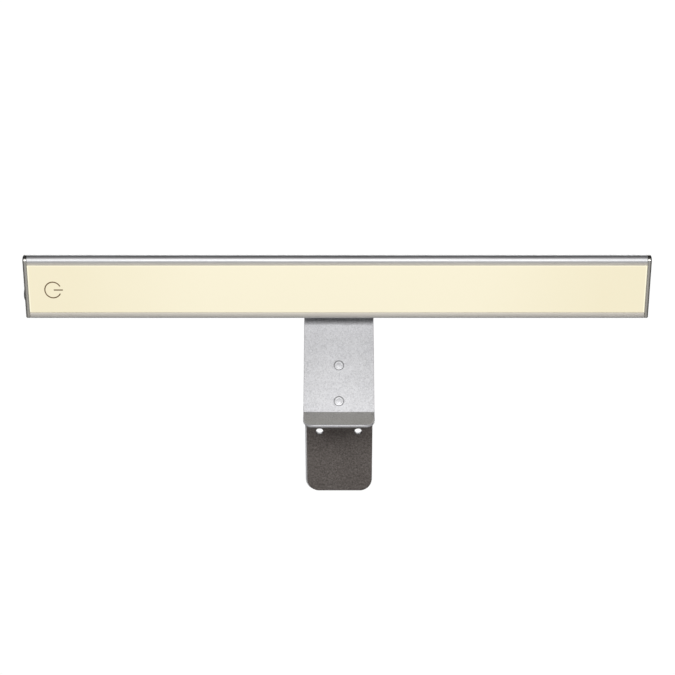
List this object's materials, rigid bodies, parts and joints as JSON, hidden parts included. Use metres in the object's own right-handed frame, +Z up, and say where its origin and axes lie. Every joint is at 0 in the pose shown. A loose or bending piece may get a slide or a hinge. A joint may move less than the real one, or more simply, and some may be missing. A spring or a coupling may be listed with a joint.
{
  "type": "monitor light bar",
  "caption": "Slim light bar with a warm edge-lit panel and touch mark, tilting on a bent sheet bracket that hooks over the top edge of a screen.",
  "frame": {"origin": "middle of the hook's padded saddle, on the face that rests on the screen's top edge", "axes": "+X along the light bar to the right as seen from the desk, -Y towards the desk and the person, +Z up"},
  "size_m": [0.452, 0.1179, 0.1451],
  "materials": {
    "anodised_aluminium": "fine bead-blasted silver anodising",
    "cap_silver": "satin silver paint",
    "screw_steel": "zinc-plated steel",
    "opal_diffuser": "warm opal acrylic, lit evenly from behind",
    "print_brown": "thin printed ink",
    "clear_film": "clear conductive film",
    "clear_acrylic": "clear acrylic with a dot pattern",
    "white_film": "matte white reflector",
    "black_foam": "closed-cell foam",
    "white_board": "white solder mask",
    "led_yellow": "phosphor-coated package",
    "wire_red": "insulated lead",
    "green_board": "green solder mask",
    "black_plastic": "moulded black plastic",
    "cast_gray": "satin grey paint on die-cast zinc",
    "washer_bronze": "phosphor bronze",
    "textured_silver": "fine-texture silver powder coat",
    "dark_pad": "matte dark foam rubber with a fine mottled grain"
  },
  "bodies": {
    "bracket": {"friction_washers": "washer_bronze", "hinge_pin": "screw_steel", "hinge_nut": "screw_steel", "front_plate": "textured_silver", "rear_hook": "textured_silver", "rivets": "textured_silver", "hook_pad": "dark_pad", "lip_pad": "dark_pad"},
    "head": {"housing_extrusion": "anodised_aluminium", "end_cap_left": "cap_silver", "end_cap_right": "cap_silver", "end_cap_screws": "screw_steel", "diffuser_panel": "opal_diffuser", "touch_mark": "print_brown", "touch_film": "clear_film", "light_guide": "clear_acrylic", "reflector_sheet": "white_film", "backing_foam": "black_foam", "led_board": "white_board", "led_packages": "led_yellow", "led_leads": "wire_red", "driver_board": "green_board", "driver_components": "black_plastic", "dc_jack": "black_plastic", "inlet_bezel": "black_plastic", "hinge_block": "cast_gray", "hinge_block_screws": "screw_steel"}
  },
  "joints": [
    {"name": "head_tilt", "type": "hinge", "parent": "bracket", "child": "head", "pos_m": [0, -0.01905, 0.0846], "axis": [1, 0, 0], "range_deg": [-50, 10]}
  ]
}
